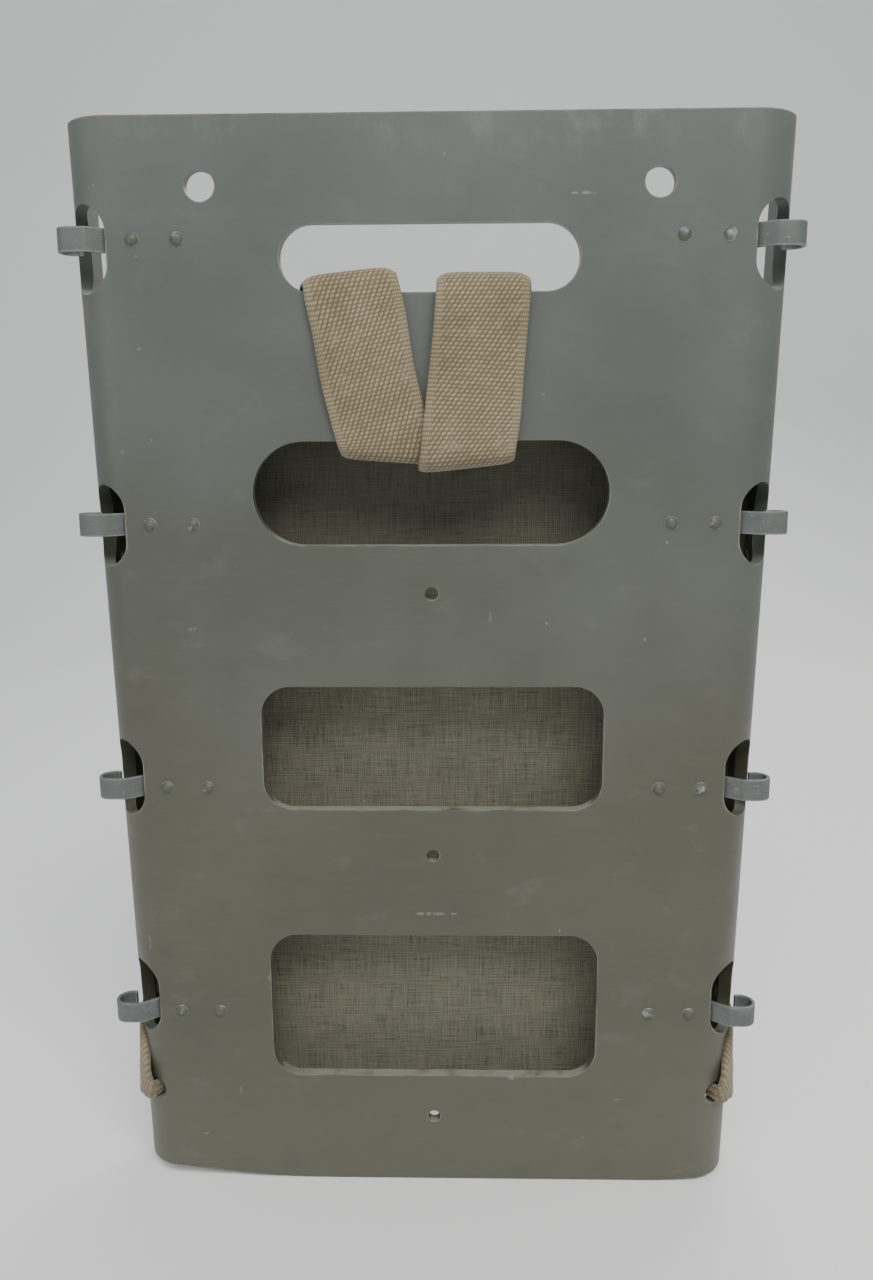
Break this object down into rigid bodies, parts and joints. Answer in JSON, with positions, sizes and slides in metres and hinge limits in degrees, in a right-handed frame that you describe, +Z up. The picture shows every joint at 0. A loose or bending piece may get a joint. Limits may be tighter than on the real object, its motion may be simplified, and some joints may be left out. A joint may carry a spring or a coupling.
{
  "type": "plywood packboard",
  "caption": "Moulded plywood packboard with curled steel lashing hooks, strap slots, a canvas back panel and padded shoulder straps with cam buckles.",
  "frame": {"origin": "middle of the bottom edge of the board, at mid-thickness of the plywood", "axes": "+X across the board to the right as seen from the load face, +Y towards the wearer, +Z up"},
  "size_m": [0.4034, 0.1329, 0.6223],
  "materials": {
    "painted_plywood": "satin olive paint, worn",
    "hook_steel": "worn olive-grey paint",
    "rivet_steel": "worn paint",
    "canvas": "plain-weave duck",
    "pad_canvas": "duck over felt",
    "webbing": "heavy cotton webbing",
    "buckle_steel": "blackened steel"
  },
  "bodies": {
    "root": {"board": "painted_plywood", "hook_left_1": "hook_steel", "hook_left_2": "hook_steel", "hook_left_3": "hook_steel", "hook_left_4": "hook_steel", "hook_right_1": "hook_steel", "hook_right_2": "hook_steel", "hook_right_3": "hook_steel", "hook_right_4": "hook_steel", "hook_rivets": "rivet_steel", "canvas_panel": "canvas", "canvas_rivets": "rivet_steel", "strap_loop_left": "webbing", "strap_loop_right": "webbing", "anchor_web_left": "webbing", "anchor_web_right": "webbing", "anchor_toggle_left": "buckle_steel", "anchor_toggle_right": "buckle_steel"},
    "left_strap": {"shoulder_strap_left": "webbing", "shoulder_pad_left": "pad_canvas", "adjusting_web_left": "webbing", "buckle_base_left": "buckle_steel", "buckle_pin_left": "buckle_steel", "web_tip_left": "buckle_steel"},
    "left_lever": {"buckle_lever_left": "buckle_steel"},
    "left_keeper": {"web_keeper_left": "webbing"},
    "right_strap": {"shoulder_strap_right": "webbing", "shoulder_pad_right": "pad_canvas", "adjusting_web_right": "webbing", "buckle_base_right": "buckle_steel", "buckle_pin_right": "buckle_steel", "web_tip_right": "buckle_steel"},
    "right_lever": {"buckle_lever_right": "buckle_steel"},
    "right_keeper": {"web_keeper_right": "webbing"}
  },
  "joints": [
    {"name": "left_strap_swing", "type": "hinge", "parent": "root", "child": "left_strap", "pos_m": [-0.188, 0.04383, 0.076], "axis": [0.2821, 0, 0.9594], "range_deg": [-20, 25], "stiffness_Nm_per_rad": 0.6},
    {"name": "left_lever_turn", "type": "hinge", "parent": "left_strap", "child": "left_lever", "pos_m": [-0.16604, 0.11442, 0.17214], "axis": [-0.9659, 0, 0.2588], "range_deg": [0, 80]},
    {"name": "left_keeper_slide", "type": "slide", "parent": "left_strap", "child": "left_keeper", "axis": [0.2588, 0, 0.9659], "range_m": [-0.006, 0.04]},
    {"name": "right_strap_swing", "type": "hinge", "parent": "root", "child": "right_strap", "pos_m": [0.188, 0.04383, 0.076], "axis": [0.3263, 0, -0.9453], "range_deg": [-20, 25], "stiffness_Nm_per_rad": 0.6},
    {"name": "right_lever_turn", "type": "hinge", "parent": "right_strap", "child": "right_lever", "pos_m": [0.16604, 0.11442, 0.17214], "axis": [-0.9659, 0, -0.2588], "range_deg": [0, 80]},
    {"name": "right_keeper_slide", "type": "slide", "parent": "right_strap", "child": "right_keeper", "axis": [-0.2588, 0, 0.9659], "range_m": [-0.006, 0.04]}
  ]
}
